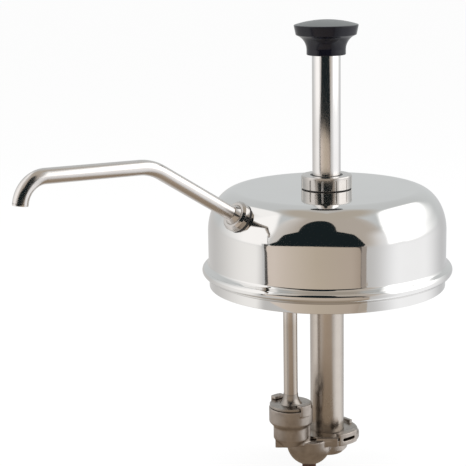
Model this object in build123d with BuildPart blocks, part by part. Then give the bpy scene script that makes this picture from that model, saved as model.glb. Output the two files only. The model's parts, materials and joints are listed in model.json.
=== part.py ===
from build123d import *
from math import acos, atan2, cos, degrees, radians, sin, sqrt, tan
import os

# Condiment pump on a domed lid. Millimetres, +Z up.
# The origin is on the lid's axis, at the plane where the lid's bead rests on the inset's rim.
# The spout reaches out along -X, and the discharge side lies in the XZ plane.

# ---------------------------------------------------------------- driving dimensions
# lid
sheet = 1.0
wall_radius = 107.5
skirt_radius = 107.0
skirt_height = 9.2
bead_round = 6.35
bead_reach = 6.5
lid_height = 79.0
shoulder_run = 27.1
shoulder_drop = 37.5
hole_clearance = 0.3

# cylinder and its head
cylinder_radius = 15.5
cylinder_wall = 1.2
cylinder_above_lid = 9.3
head_thread_radius = 18.5
head_flange_radius = 23.0
head_flange_thickness = 3.0
gasket_thickness = 0.8
head_gasket_radius = 22.2

# collar nut and plunger bushing
collar_radius = 22.8
collar_height = 11.5
collar_lip = 1.5
collar_mouth_radius = 14.6
flute_count = 12
flute_turn = 9.1
flute_radius = 0.8
flute_depth = 0.45
collar_edge = 0.7
thread_clearance = 0.05
bushing_flange_thickness = 1.5
bushing_length = 28.0
bushing_lip_radius = 14.4

# plunger
plunger_radius = 12.7
plunger_wall = 1.2
running_clearance = 0.08
stroke = 60.0
plunger_exposed = 107.4
foot_ring_height = 4.2
stop_gap = 0.3
rod_radius = 4.0
rod_thread_in_knob = 15.0

# knob
knob_neck_radius = 17.4
knob_neck_height = 4.3
knob_flare_radius = 23.8
knob_flare_height = 11.8
knob_band_foot_radius = 26.9
knob_step_height = 1.6
knob_rim_radius = 28.7
knob_band_height = 8.5
knob_crown = 4.5
knob_edge = 0.8
knob_socket_depth = 7.3
insert_stud_radius = 9.0
insert_stud_height = 10.0

# return spring and its seats
spring_wire_radius = 1.0
spring_mean_radius = 9.3
spring_turns = 22
spring_face_gap = 0.05
spring_washer_thickness = 2.0
spring_washer_clearance = 0.2
spring_seat_clearance = 3.8
spring_seat_thickness = 4.0
seat_vent_radius = 1.5
seat_vent_count = 4

# piston
piston_drop = 56.0
upper_washer_radius = 12.5
lower_washer_radius = 11.0
piston_washer_thickness = 2.0
seal_height = 8.0
seal_lip = 1.6
seal_web = 3.0
seal_clearance = 0.05
piston_nut_width = 13.0
piston_nut_height = 6.5
rod_end = 3.5

# discharge tube
tube_radius = 6.35
tube_wall = 0.9
rise_angle = 31.5
rise_length = 106.5
spout_angle = 2.7
spout_run = 120.0
tip_angle = 82.0
tip_length = 21.5
riser_bend = 30.0
spout_bend = 45.0
tip_bend = 22.0

# discharge ferrule, its nut and its gaskets, measured along the rising tube
ferrule_thread_radius = 9.0
ferrule_flange_radius = 12.5
ferrule_flange_thickness = 3.4
inner_gasket_depth = 4.6
outer_gasket_height = 0.6
outer_gasket_radius = 13.0
discharge_nut_radius = 13.4
discharge_nut_height = 6.8
ferrule_proud = 4.4
ferrule_lip = 0.6
nut_flat_count = 12
nut_flat_depth = 0.25
nut_edge = 2.2

# valve body, cylinder side
port_spacing = 44.3
cylinder_port_depth = 151.5
port_gap = 0.4
plate_thickness = 2.5
cup_radius = 29.7
cup_band = 5.0
cup_taper = 3.0
cup_base_radius = 18.6
cup_base_height = 11.3
cup_base_round = 4.5
well_depth = 16.5
seal_ring_inner = 16.4
seal_ring_outer = 21.0
seal_ring_sunk = 1.6
seal_ring_side_gap = 0.2
cup_rail_wall = 2.4
cup_rail_inner = 24.5
cup_rail_half_length = 11.0
rail_roof = 3.4
rail_gap = 0.2
plate_side_gap = 0.4
cylinder_plate_radius = 28.2
window_length = 14.0
window_height = 2.7
window_drop = 0.9
stop_bar_angle = 132.0
stop_bar_distance = 26.0
stop_bar_thickness = 3.2
stop_bar_width = 20.0
stop_bar_height = 8.1
tab_width = 11.0
tab_thickness = 3.2
tab_height = 3.1

# valve body, discharge side
port_step = 34.2
barrel_rim_radius = 19.9
barrel_band = 13.7
barrel_taper = 4.4
barrel_radius = 16.0
barrel_below_cup_rim = 2.5
barrel_round = 7.0
riser_plate_radius = 19.2
riser_neck_radius = 9.5
riser_neck_height = 9.5
barrel_rail_wall = 2.6
barrel_rail_inner = 15.0
barrel_rail_half_length = 5.8
barrel_rail_roof = 3.0
barrel_rail_drop = 4.8
riser_ring_inner = 11.2
riser_ring_outer = 15.2
chamber_radius = 10.5
discharge_seat_drop = 22.9
discharge_seat_radius = 5.2
discharge_seat_length = 4.5
discharge_channel_radius = 4.2
discharge_channel_rise = 4.0
discharge_ball_radius = 6.35
ball_lift = 5.0
stop_pin_radius = 1.25
stop_pin_seat = 4.0
ball_gap = 0.05
web_reach = 14.4
web_width = 25.0
web_round = 3.0
lug_turn = 42.0
lug_reach = 14.3
lug_width = 10.0
lug_height = 9.0
lug_drop = 2.0

# valve body, suction side
bowl_offset = 22.6
bowl_radius = 20.5
bowl_shoulder = 6.44
bowl_flat_radius = 7.55
suction_chamber_radius = 11.0
suction_roof = 3.0
transfer_radius = 6.5
transfer_below_roof = 0.5
suction_ball_radius = 7.94
inlet_thread_radius = 9.0
inlet_bore_radius = 5.0
inlet_plug_length = 4.0
inlet_nipple_radius = 6.35
inlet_nipple_length = 10.0

# ---------------------------------------------------------------- derived places
bead_centre = wall_radius + bead_reach - bead_round
shoulder_centre = wall_radius - shoulder_run
shoulder_foot = lid_height - shoulder_drop

cylinder_bore = cylinder_radius - cylinder_wall
plunger_bore = plunger_radius - plunger_wall
tube_bore = tube_radius - tube_wall

nut_seat = lid_height + gasket_thickness
cylinder_top = lid_height + cylinder_above_lid
bushing_top = cylinder_top + bushing_flange_thickness
collar_top = nut_seat + collar_height
bushing_foot = cylinder_top - bushing_length
foot_ring_top = bushing_foot - stop_gap
plunger_foot = foot_ring_top - foot_ring_height
knob_foot = collar_top + plunger_exposed
plunger_top = knob_foot + knob_socket_depth
insert_foot = knob_foot
rod_top = insert_foot + rod_thread_in_knob

washer_top = insert_foot - spring_face_gap
washer_foot = washer_top - spring_washer_thickness
spring_seat_top = plunger_foot - stroke - spring_seat_clearance
spring_low = spring_seat_top + spring_wire_radius + spring_face_gap
spring_high = washer_foot - spring_wire_radius - spring_face_gap

piston_top = spring_seat_top - piston_drop
seal_top = piston_top - piston_washer_thickness
seal_foot = seal_top - seal_height
lower_washer_foot = seal_foot - piston_washer_thickness
piston_nut_foot = lower_washer_foot - piston_nut_height
rod_foot = piston_nut_foot - rod_end

# point where the discharge tube leaves the shoulder square to it
entry_turn = atan2(shoulder_drop * tan(radians(rise_angle)), shoulder_run)
entry_x = -(shoulder_centre + shoulder_run * cos(entry_turn))
entry_z = shoulder_foot + shoulder_drop * sin(entry_turn)
rise_direction = (-cos(radians(rise_angle)), 0, sin(radians(rise_angle)))
rise_axis = Axis((entry_x, 0, entry_z), rise_direction)
rise_plane = Plane(origin=(entry_x, 0, entry_z), x_dir=(0, 1, 0), z_dir=rise_direction)
rise_section = Plane(
    origin=(entry_x, 0, entry_z),
    x_dir=(sin(radians(rise_angle)), 0, cos(radians(rise_angle))),
    z_dir=(0, -1, 0),
)

cup_rim = -cylinder_port_depth
cylinder_plate_foot = cup_rim + port_gap
cylinder_plate_top = cylinder_plate_foot + plate_thickness
cup_rail_reach = cylinder_plate_radius + plate_side_gap + cup_rail_wall
barrel_rim = cup_rim + port_step
riser_plate_foot = barrel_rim + port_gap
riser_plate_top = riser_plate_foot + plate_thickness
barrel_rail_reach = riser_plate_radius + plate_side_gap + barrel_rail_wall
discharge_seat = barrel_rim - discharge_seat_drop
bowl_centre = cup_rim - bowl_shoulder
bowl_foot = bowl_centre - sqrt(bowl_radius**2 - bowl_flat_radius**2)
suction_roof_height = cup_rim - suction_roof
suction_seat = bowl_foot + inlet_plug_length
well_foot = cup_rim - well_depth
transfer_height = suction_roof_height - transfer_below_roof - transfer_radius
cup_taper_foot = cup_rim - cup_band - cup_taper
cup_foot = cup_taper_foot - cup_base_height
barrel_taper_foot = barrel_rim - barrel_band - barrel_taper
barrel_foot = cup_rim - barrel_below_cup_rim

discharge_ball_height = (
    discharge_seat + sqrt(discharge_ball_radius**2 - discharge_seat_radius**2) + ball_gap
)
suction_ball_height = (
    suction_seat + sqrt(suction_ball_radius**2 - inlet_bore_radius**2) + ball_gap
)
stop_pin_height = (
    discharge_ball_height + discharge_ball_radius + ball_lift + ball_gap + stop_pin_radius
)

stop_pin_foot = -chamber_radius - stop_pin_seat
stop_pin_length = barrel_rim_radius - stop_pin_foot
stop_pin_plane = Plane(origin=(-port_spacing, stop_pin_foot, stop_pin_height), z_dir=(0, 1, 0))

riser_axis = Axis((-port_spacing, 0, 0), (0, 0, 1))
bowl_axis = Axis((-bowl_offset, 0, 0), (0, 0, 1))
bowl_turn = degrees(acos(bowl_flat_radius / bowl_radius))


def riser_plane(height):
    return Plane(origin=(-port_spacing, 0, height), z_dir=(0, 0, 1))


def bowl_plane(height):
    return Plane(origin=(-bowl_offset, 0, height), z_dir=(0, 0, 1))


def lid_section(inset):
    """Half section of the lid, filled to its axis and drawn inset from the outside."""
    skirt = skirt_radius - inset
    wall = wall_radius - inset
    bead = bead_round - inset
    low_turn = degrees(atan2(-sqrt(bead**2 - (skirt - bead_centre) ** 2), skirt - bead_centre))
    high_turn = degrees(atan2(sqrt(bead**2 - (wall - bead_centre) ** 2), wall - bead_centre))
    with BuildSketch(Plane.XZ) as section:
        with BuildLine():
            bead_arc = CenterArc((bead_centre, bead_round), bead, low_turn, high_turn - low_turn)
            shoulder = EllipticalCenterArc(
                (shoulder_centre, shoulder_foot),
                shoulder_run - inset,
                shoulder_drop - inset,
                start_angle=0,
                arc_size=90,
            )
            Polyline(
                (0, lid_height - inset), (0, -skirt_height), (skirt, -skirt_height), bead_arc @ 0
            )
            Line(bead_arc @ 1, shoulder @ 0)
            Line(shoulder @ 1, (0, lid_height - inset))
        make_face()
    return section.sketch


# ---------------------------------------------------------------- lid
with BuildPart() as lid_dome:
    revolve(lid_section(0), axis=Axis.Z)
    revolve(lid_section(sheet), axis=Axis.Z, mode=Mode.SUBTRACT)
    with BuildSketch(Plane.XY.offset(lid_height)):
        Circle(head_thread_radius + hole_clearance)
    extrude(amount=-2 * sheet, mode=Mode.SUBTRACT)
    with BuildSketch(rise_plane):
        Circle(ferrule_thread_radius + hole_clearance)
    extrude(amount=4 * sheet, both=True, mode=Mode.SUBTRACT)
lid_dome.part.label = "lid_dome"

# ---------------------------------------------------------------- cylinder
with BuildPart() as cylinder_tube:
    with BuildSketch(Plane.XY.offset(cylinder_plate_foot)):
        Circle(cylinder_radius)
        Circle(cylinder_bore, mode=Mode.SUBTRACT)
    extrude(amount=cylinder_top - cylinder_plate_foot)
cylinder_tube.part.label = "cylinder_tube"

with BuildPart() as cylinder_head:
    with BuildSketch(Plane.XY.offset(cylinder_top)):
        Circle(head_thread_radius)
    extrude(amount=-(cylinder_above_lid + sheet + gasket_thickness))
    with BuildSketch(Plane.XY.offset(lid_height - sheet - gasket_thickness)):
        Circle(head_flange_radius)
    extrude(amount=-head_flange_thickness)
    with BuildSketch(Plane.XY.offset(cylinder_top)):
        Circle(cylinder_radius)
    extrude(amount=cylinder_plate_foot, mode=Mode.SUBTRACT)
cylinder_head.part.label = "cylinder_head"

with BuildPart() as head_gasket:
    with BuildSketch(Plane.XY.offset(lid_height - sheet)):
        Circle(head_gasket_radius)
        Circle(head_thread_radius + hole_clearance, mode=Mode.SUBTRACT)
    extrude(amount=-gasket_thickness)
head_gasket.part.label = "head_gasket"

with BuildPart() as collar_gasket:
    with BuildSketch(Plane.XY.offset(lid_height)):
        Circle(head_gasket_radius)
        Circle(head_thread_radius + hole_clearance, mode=Mode.SUBTRACT)
    extrude(amount=gasket_thickness)
collar_gasket.part.label = "collar_gasket"

with BuildPart() as collar_nut:
    with BuildSketch(Plane.XY.offset(nut_seat)):
        Circle(collar_radius)
    extrude(amount=collar_height)
    chamfer(collar_nut.edges().group_by(Axis.Z)[-1], length=collar_edge)
    with BuildSketch(Plane.XY.offset(nut_seat)):
        with PolarLocations(collar_radius + flute_radius - flute_depth, flute_count, flute_turn):
            Circle(flute_radius)
    extrude(amount=collar_height - collar_lip - collar_edge, mode=Mode.SUBTRACT)
    with BuildSketch(Plane.XY.offset(nut_seat)):
        Circle(head_thread_radius + thread_clearance)
    extrude(amount=bushing_top - nut_seat, mode=Mode.SUBTRACT)
    with BuildSketch(Plane.XY.offset(nut_seat)):
        Circle(collar_mouth_radius)
    extrude(amount=collar_height, mode=Mode.SUBTRACT)
collar_nut.part.label = "collar_nut"

with BuildPart() as plunger_bushing:
    with BuildSketch(Plane.XY.offset(cylinder_top)):
        Circle(head_thread_radius)
    extrude(amount=bushing_flange_thickness)
    with BuildSketch(Plane.XY.offset(bushing_foot)):
        Circle(cylinder_bore)
    extrude(amount=bushing_length)
    with BuildSketch(Plane.XY.offset(bushing_top)):
        Circle(bushing_lip_radius)
    extrude(amount=collar_top - bushing_top)
    with BuildSketch(Plane.XY.offset(bushing_foot)):
        Circle(plunger_radius + running_clearance)
    extrude(amount=collar_top - bushing_foot, mode=Mode.SUBTRACT)
plunger_bushing.part.label = "plunger_bushing"

with BuildPart() as spring_seat:
    with BuildSketch(Plane.XY.offset(spring_seat_top)):
        Circle(cylinder_bore)
        Circle(rod_radius + running_clearance, mode=Mode.SUBTRACT)
        with PolarLocations((rod_radius + cylinder_bore) / 2, seat_vent_count):
            Circle(seat_vent_radius, mode=Mode.SUBTRACT)
    extrude(amount=-spring_seat_thickness)
spring_seat.part.label = "spring_seat"

with BuildPart() as return_spring:
    with BuildLine():
        coil = Helix(
            pitch=(spring_high - spring_low) / spring_turns,
            height=spring_high - spring_low,
            radius=spring_mean_radius,
            center=(0, 0, spring_low),
        )
    with BuildSketch(Plane(origin=coil @ 0, z_dir=coil % 0)):
        Circle(spring_wire_radius)
    sweep(is_frenet=True)
return_spring.part.label = "return_spring"

# ---------------------------------------------------------------- plunger
with BuildPart() as spring_washer:
    with BuildSketch(Plane.XY.offset(washer_foot)):
        Circle(plunger_bore - spring_washer_clearance)
        Circle(rod_radius + spring_washer_clearance, mode=Mode.SUBTRACT)
    extrude(amount=spring_washer_thickness)
spring_washer.part.label = "spring_washer"

with BuildPart() as plunger_tube:
    with BuildSketch(Plane.XY.offset(plunger_foot)):
        Circle(plunger_radius)
        Circle(plunger_bore, mode=Mode.SUBTRACT)
    extrude(amount=plunger_top - plunger_foot)
plunger_tube.part.label = "plunger_tube"

with BuildPart() as plunger_foot_ring:
    with BuildSketch(Plane.XY.offset(plunger_foot)):
        Circle(cylinder_bore - 2 * running_clearance)
        Circle(plunger_radius, mode=Mode.SUBTRACT)
    extrude(amount=foot_ring_height)
plunger_foot_ring.part.label = "plunger_foot_ring"

with BuildPart() as plunger_rod:
    with BuildSketch(Plane.XY.offset(rod_foot)):
        Circle(rod_radius)
    extrude(amount=rod_top - rod_foot)
plunger_rod.part.label = "plunger_rod"

with BuildPart() as knob_insert:
    with BuildSketch(Plane.XY.offset(insert_foot)):
        Circle(plunger_bore)
    extrude(amount=knob_socket_depth)
    with BuildSketch(Plane.XY.offset(plunger_top)):
        Circle(insert_stud_radius)
    extrude(amount=insert_stud_height)
    with BuildSketch(Plane.XY.offset(insert_foot)):
        Circle(rod_radius)
    extrude(amount=rod_top - insert_foot, mode=Mode.SUBTRACT)
knob_insert.part.label = "knob_insert"

with BuildPart() as knob:
    flare_foot = knob_foot + knob_neck_height
    step_foot = flare_foot + knob_flare_height
    band_foot = step_foot + knob_step_height
    rim_height = band_foot + knob_band_height
    crown_top = rim_height + knob_crown
    with BuildSketch(Plane.XZ):
        with BuildLine():
            crown = TangentArc(
                (0, crown_top), (knob_rim_radius, rim_height), tangent=(1, 0)
            )
            flare = TangentArc(
                (knob_neck_radius, flare_foot), (knob_flare_radius, step_foot), tangent=(0, 1)
            )
            Polyline(crown @ 1, (knob_band_foot_radius, band_foot), flare @ 1)
            Polyline(flare @ 0, (knob_neck_radius, knob_foot), (0, knob_foot), crown @ 0)
        make_face()
    revolve(axis=Axis.Z)
    rims = knob.edges().filter_by(GeomType.CIRCLE).filter_by(lambda edge: edge.is_closed)
    fillet(rims.sort_by(SortBy.RADIUS)[-1], radius=knob_edge)
    with BuildSketch(Plane.XY.offset(knob_foot)):
        Circle(plunger_radius)
    extrude(amount=knob_socket_depth, mode=Mode.SUBTRACT)
    with BuildSketch(Plane.XY.offset(plunger_top)):
        Circle(insert_stud_radius)
    extrude(amount=insert_stud_height, mode=Mode.SUBTRACT)
knob.part.label = "knob"

# ---------------------------------------------------------------- piston
with BuildPart() as piston_upper_washer:
    with BuildSketch(Plane.XY.offset(seal_top)):
        Circle(upper_washer_radius)
        Circle(rod_radius, mode=Mode.SUBTRACT)
    extrude(amount=piston_washer_thickness)
piston_upper_washer.part.label = "piston_upper_washer"

with BuildPart() as piston_seal:
    with BuildSketch(Plane.XY.offset(seal_foot)):
        Circle(cylinder_bore - seal_clearance)
        Circle(rod_radius, mode=Mode.SUBTRACT)
    extrude(amount=seal_height)
    with BuildSketch(Plane.XY.offset(seal_foot)):
        Circle(cylinder_bore - seal_clearance - seal_lip)
        Circle(lower_washer_radius, mode=Mode.SUBTRACT)
    extrude(amount=seal_height - seal_web, mode=Mode.SUBTRACT)
piston_seal.part.label = "piston_seal"

with BuildPart() as piston_lower_washer:
    with BuildSketch(Plane.XY.offset(lower_washer_foot)):
        Circle(lower_washer_radius)
        Circle(rod_radius, mode=Mode.SUBTRACT)
    extrude(amount=piston_washer_thickness)
piston_lower_washer.part.label = "piston_lower_washer"

with BuildPart() as piston_nut:
    with BuildSketch(Plane.XY.offset(piston_nut_foot)):
        RegularPolygon(piston_nut_width / 2, 6, major_radius=False)
        Circle(rod_radius, mode=Mode.SUBTRACT)
    extrude(amount=piston_nut_height)
piston_nut.part.label = "piston_nut"

# ---------------------------------------------------------------- discharge tube and its lid fitting
rise_corner = (
    entry_x - rise_length * cos(radians(rise_angle)),
    entry_z + rise_length * sin(radians(rise_angle)),
)
riser_corner = (
    -port_spacing,
    entry_z + (entry_x + port_spacing) * tan(radians(rise_angle)),
)
tip_corner = (
    rise_corner[0] - spout_run * cos(radians(spout_angle)),
    rise_corner[1] + spout_run * sin(radians(spout_angle)),
)
tip_end = (
    tip_corner[0] - tip_length * cos(radians(tip_angle)),
    tip_corner[1] - tip_length * sin(radians(tip_angle)),
)

with BuildPart() as discharge_tube:
    with BuildLine(Plane.XZ):
        route = FilletPolyline(
            (-port_spacing, riser_plate_foot),
            riser_corner,
            rise_corner,
            tip_corner,
            tip_end,
            radius=[riser_bend, spout_bend, tip_bend],
        )
    with BuildSketch(riser_plane(riser_plate_foot)):
        Circle(tube_radius)
        Circle(tube_bore, mode=Mode.SUBTRACT)
    sweep()
discharge_tube.part.label = "discharge_tube"

with BuildPart() as discharge_ferrule:
    nut_top = outer_gasket_height + discharge_nut_height
    ferrule_top = nut_top + ferrule_proud
    flange_foot = -inner_gasket_depth - ferrule_flange_thickness
    with BuildSketch(rise_section):
        with BuildLine():
            Polyline(
                (tube_radius, flange_foot),
                (ferrule_flange_radius, flange_foot),
                (ferrule_flange_radius, -inner_gasket_depth),
                (ferrule_thread_radius, -inner_gasket_depth),
                (ferrule_thread_radius, nut_top),
                (tube_radius + ferrule_lip, ferrule_top),
                (tube_radius, ferrule_top),
                close=True,
            )
        make_face()
    revolve(axis=rise_axis)
discharge_ferrule.part.label = "discharge_ferrule"

with BuildPart() as discharge_inner_gasket:
    with BuildSketch(rise_plane.offset(-inner_gasket_depth)):
        Circle(ferrule_flange_radius)
        Circle(ferrule_thread_radius, mode=Mode.SUBTRACT)
    extrude(amount=inner_gasket_depth)
    revolve(lid_section(sheet), axis=Axis.Z, mode=Mode.INTERSECT)
discharge_inner_gasket.part.label = "discharge_inner_gasket"

with BuildPart() as discharge_outer_gasket:
    with BuildSketch(rise_plane.offset(outer_gasket_height)):
        Circle(outer_gasket_radius)
        Circle(ferrule_thread_radius, mode=Mode.SUBTRACT)
    extrude(amount=-inner_gasket_depth)
    revolve(lid_section(0), axis=Axis.Z, mode=Mode.SUBTRACT)
discharge_outer_gasket.part.label = "discharge_outer_gasket"

with BuildPart() as discharge_nut:
    with BuildSketch(rise_section):
        with BuildLine():
            Polyline(
                (ferrule_thread_radius + thread_clearance, outer_gasket_height),
                (discharge_nut_radius, outer_gasket_height),
                (discharge_nut_radius, nut_top - nut_edge),
                (discharge_nut_radius - nut_edge, nut_top),
                (ferrule_thread_radius + thread_clearance, nut_top),
                close=True,
            )
        make_face()
    revolve(axis=rise_axis)
    with BuildSketch(rise_plane.offset(outer_gasket_height)):
        RegularPolygon(discharge_nut_radius - nut_flat_depth, nut_flat_count, major_radius=False)
    extrude(amount=discharge_nut_height, mode=Mode.INTERSECT)
discharge_nut.part.label = "discharge_nut"

with BuildPart() as riser_flange:
    neck_top = riser_plate_top + riser_neck_height
    with BuildSketch(Plane.XZ):
        with BuildLine():
            Polyline(
                (-port_spacing - tube_radius, riser_plate_foot),
                (-port_spacing - riser_plate_radius, riser_plate_foot),
                (-port_spacing - riser_plate_radius, riser_plate_top),
                (-port_spacing - riser_neck_radius, riser_plate_top),
                (-port_spacing - tube_radius - tube_wall, neck_top),
                (-port_spacing - tube_radius, neck_top),
                close=True,
            )
        make_face()
    revolve(axis=riser_axis)
riser_flange.part.label = "riser_flange"

with BuildPart() as riser_seal_ring:
    with BuildSketch(riser_plane(riser_plate_foot)):
        Circle(riser_ring_outer)
        Circle(riser_ring_inner, mode=Mode.SUBTRACT)
    extrude(amount=-(port_gap + seal_ring_sunk))
riser_seal_ring.part.label = "riser_seal_ring"

# ---------------------------------------------------------------- cylinder foot
with BuildPart() as cylinder_flange:
    with BuildSketch(Plane.XY.offset(cylinder_plate_foot)):
        Circle(cylinder_plate_radius)
        for turn in (stop_bar_angle, -stop_bar_angle):
            with Locations(Location((0, 0, 0), (0, 0, turn))):
                with Locations((stop_bar_distance - rail_gap + stop_bar_width, 0)):
                    Rectangle(2 * stop_bar_width, 4 * stop_bar_width, mode=Mode.SUBTRACT)
        with Locations((-port_spacing, 0)):
            Circle(barrel_radius + plate_side_gap, mode=Mode.SUBTRACT)
        Circle(cylinder_radius, mode=Mode.SUBTRACT)
    extrude(amount=plate_thickness)
    with BuildSketch(Plane.XY.offset(cylinder_plate_top)):
        with Locations((cylinder_plate_radius - tab_thickness, 0)):
            Rectangle(tab_thickness, tab_width)
    extrude(amount=tab_height)
cylinder_flange.part.label = "cylinder_flange"

with BuildPart() as cylinder_seal_ring:
    with BuildSketch(Plane.XY.offset(cylinder_plate_foot)):
        Circle(seal_ring_outer)
        Circle(seal_ring_inner, mode=Mode.SUBTRACT)
    extrude(amount=-(port_gap + seal_ring_sunk))
cylinder_seal_ring.part.label = "cylinder_seal_ring"

# ---------------------------------------------------------------- valve body
with BuildPart() as valve_body:
    # cup under the cylinder
    with BuildSketch(Plane.XZ):
        with BuildLine():
            Polyline(
                (0, cup_foot),
                (cup_base_radius - cup_base_round, cup_foot),
                (cup_base_radius, cup_foot + cup_base_round),
                (cup_base_radius, cup_taper_foot),
                (cup_radius, cup_rim - cup_band),
                (cup_radius, cup_rim),
                (0, cup_rim),
                close=True,
            )
        make_face()
    revolve(axis=Axis.Z)
    # barrel under the riser
    with BuildSketch(Plane.XZ):
        with BuildLine():
            Polyline(
                (-port_spacing, barrel_foot),
                (-port_spacing - barrel_radius + barrel_round, barrel_foot),
                (-port_spacing - barrel_radius, barrel_foot + barrel_round),
                (-port_spacing - barrel_radius, barrel_taper_foot),
                (-port_spacing - barrel_rim_radius, barrel_rim - barrel_band),
                (-port_spacing - barrel_rim_radius, barrel_rim),
                (-port_spacing, barrel_rim),
                close=True,
            )
        make_face()
    revolve(axis=riser_axis)
    # suction bowl between them
    with BuildSketch(Plane.XZ):
        with BuildLine():
            bowl_arc = CenterArc((-bowl_offset, bowl_centre), bowl_radius, 180, bowl_turn)
            Polyline(
                bowl_arc @ 0,
                (-bowl_offset - bowl_radius, cup_rim),
                (-bowl_offset, cup_rim),
                (-bowl_offset, bowl_foot),
                bowl_arc @ 1,
            )
        make_face()
    revolve(axis=bowl_axis)
    # web that carries the barrel on the bowl
    with BuildSketch(riser_plane(barrel_foot)):
        with Locations((web_reach / 2, 0)):
            RectangleRounded(web_reach, web_width, web_round)
    extrude(amount=barrel_rim - barrel_band - barrel_foot)
    # foot lug on the barrel's outer side
    with BuildSketch(riser_plane(barrel_foot - lug_drop)):
        with Locations(Location((0, 0, 0), (0, 0, 180 - lug_turn))):
            with Locations((lug_reach / 2, 0)):
                Rectangle(lug_reach, lug_width)
    extrude(amount=lug_height)
    # rails that hold the two plates
    with BuildSketch(Plane.XY.offset(cup_rim - cup_band)):
        Circle(cup_rail_reach)
        Rectangle(2 * cup_rail_half_length, 2 * cup_rail_reach, mode=Mode.INTERSECT)
        Rectangle(2 * cup_rail_reach, 2 * cup_rail_inner, mode=Mode.SUBTRACT)
    extrude(amount=cup_band + port_gap + plate_thickness + rail_roof)
    with BuildSketch(riser_plane(barrel_rim - barrel_rail_drop)):
        Circle(barrel_rail_reach)
        Rectangle(2 * barrel_rail_half_length, 2 * barrel_rail_reach, mode=Mode.INTERSECT)
        Rectangle(2 * barrel_rail_reach, 2 * barrel_rail_inner, mode=Mode.SUBTRACT)
    extrude(amount=barrel_rail_drop + port_gap + plate_thickness + barrel_rail_roof)
    # slots that the plates slide into
    with BuildSketch(Plane.XY.offset(cup_rim)):
        Rectangle(3 * cup_rail_half_length, 2 * (cylinder_plate_radius + plate_side_gap))
    extrude(amount=port_gap + plate_thickness + rail_gap, mode=Mode.SUBTRACT)
    with BuildSketch(riser_plane(barrel_rim)):
        Rectangle(3 * barrel_rail_half_length, 2 * (riser_plate_radius + plate_side_gap))
    extrude(amount=port_gap + plate_thickness + rail_gap, mode=Mode.SUBTRACT)
    with BuildSketch(Plane.XY.offset(cup_rim - window_drop)):
        Rectangle(window_length, 3 * cup_rail_reach)
    extrude(amount=window_height, mode=Mode.SUBTRACT)
    # bars that stop the cylinder's plate
    with BuildSketch(Plane.XY.offset(cylinder_plate_top)):
        for turn in (stop_bar_angle, -stop_bar_angle):
            with Locations(Location((0, 0, 0), (0, 0, turn))):
                with Locations((stop_bar_distance + stop_bar_thickness / 2, 0)):
                    Rectangle(stop_bar_thickness, stop_bar_width)
    extrude(amount=-stop_bar_height)
    # seats for the seal rings
    with BuildSketch(Plane.XY.offset(cup_rim)):
        Circle(seal_ring_outer + seal_ring_side_gap)
    extrude(amount=-seal_ring_sunk, mode=Mode.SUBTRACT)
    with BuildSketch(riser_plane(barrel_rim)):
        Circle(riser_ring_outer + seal_ring_side_gap)
    extrude(amount=-seal_ring_sunk, mode=Mode.SUBTRACT)
    # well under the piston, chamber and seat of the discharge ball
    with BuildSketch(Plane.XY.offset(cup_rim)):
        Circle(cylinder_bore)
    extrude(amount=-well_depth, mode=Mode.SUBTRACT)
    with BuildSketch(riser_plane(barrel_rim)):
        Circle(chamber_radius)
    extrude(amount=-discharge_seat_drop, mode=Mode.SUBTRACT)
    with BuildSketch(riser_plane(discharge_seat)):
        Circle(discharge_seat_radius)
    extrude(amount=-discharge_seat_length, mode=Mode.SUBTRACT)
    # suction chamber and the thread of the inlet seat
    with BuildSketch(bowl_plane(suction_seat)):
        Circle(suction_chamber_radius)
    extrude(amount=suction_roof_height - suction_seat, mode=Mode.SUBTRACT)
    with BuildSketch(bowl_plane(suction_seat)):
        Circle(inlet_thread_radius)
    extrude(amount=-bowl_radius, mode=Mode.SUBTRACT)
    # transfer passage to the well, and the sloping passage to the discharge seat
    with BuildSketch(Plane(origin=(-bowl_offset, 0, transfer_height), z_dir=(1, 0, 0))):
        Circle(transfer_radius)
    extrude(amount=bowl_offset, mode=Mode.SUBTRACT)
    channel_start = Vector(-port_spacing, 0, discharge_seat - discharge_seat_length)
    channel_end = Vector(-bowl_offset, 0, suction_seat + discharge_channel_rise)
    channel_run = channel_end - channel_start
    with BuildSketch(Plane(origin=channel_start, z_dir=channel_run)):
        Circle(discharge_channel_radius)
    extrude(amount=channel_run.length, mode=Mode.SUBTRACT)
    # blind cross hole for the pin that limits the discharge ball
    with BuildSketch(stop_pin_plane):
        Circle(stop_pin_radius)
    extrude(amount=2 * barrel_rail_reach, mode=Mode.SUBTRACT)
valve_body.part.label = "valve_body"

with BuildPart() as ball_stop_pin:
    with BuildSketch(stop_pin_plane):
        Circle(stop_pin_radius)
    extrude(amount=stop_pin_length)
ball_stop_pin.part.label = "ball_stop_pin"

with BuildPart() as discharge_ball:
    with Locations((-port_spacing, 0, discharge_ball_height)):
        Sphere(discharge_ball_radius)
discharge_ball.part.label = "discharge_ball"

with BuildPart() as suction_ball:
    with Locations((-bowl_offset, 0, suction_ball_height)):
        Sphere(suction_ball_radius)
suction_ball.part.label = "suction_ball"

with BuildPart() as inlet_seat:
    with BuildSketch(Plane.XZ):
        with BuildLine():
            plug_turn = degrees(acos(inlet_thread_radius / bowl_radius))
            plug_arc = CenterArc(
                (-bowl_offset, bowl_centre), bowl_radius, 180 + plug_turn, bowl_turn - plug_turn
            )
            Polyline(
                plug_arc @ 0,
                (-bowl_offset - inlet_thread_radius, suction_seat),
                (-bowl_offset, suction_seat),
                (-bowl_offset, bowl_foot),
                plug_arc @ 1,
            )
        make_face()
    revolve(axis=bowl_axis)
    with BuildSketch(bowl_plane(bowl_foot)):
        Circle(inlet_nipple_radius)
    extrude(amount=-inlet_nipple_length)
    with BuildSketch(bowl_plane(suction_seat)):
        Circle(inlet_bore_radius)
    extrude(amount=-inlet_plug_length - inlet_nipple_length, mode=Mode.SUBTRACT)
inlet_seat.part.label = "inlet_seat"

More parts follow.
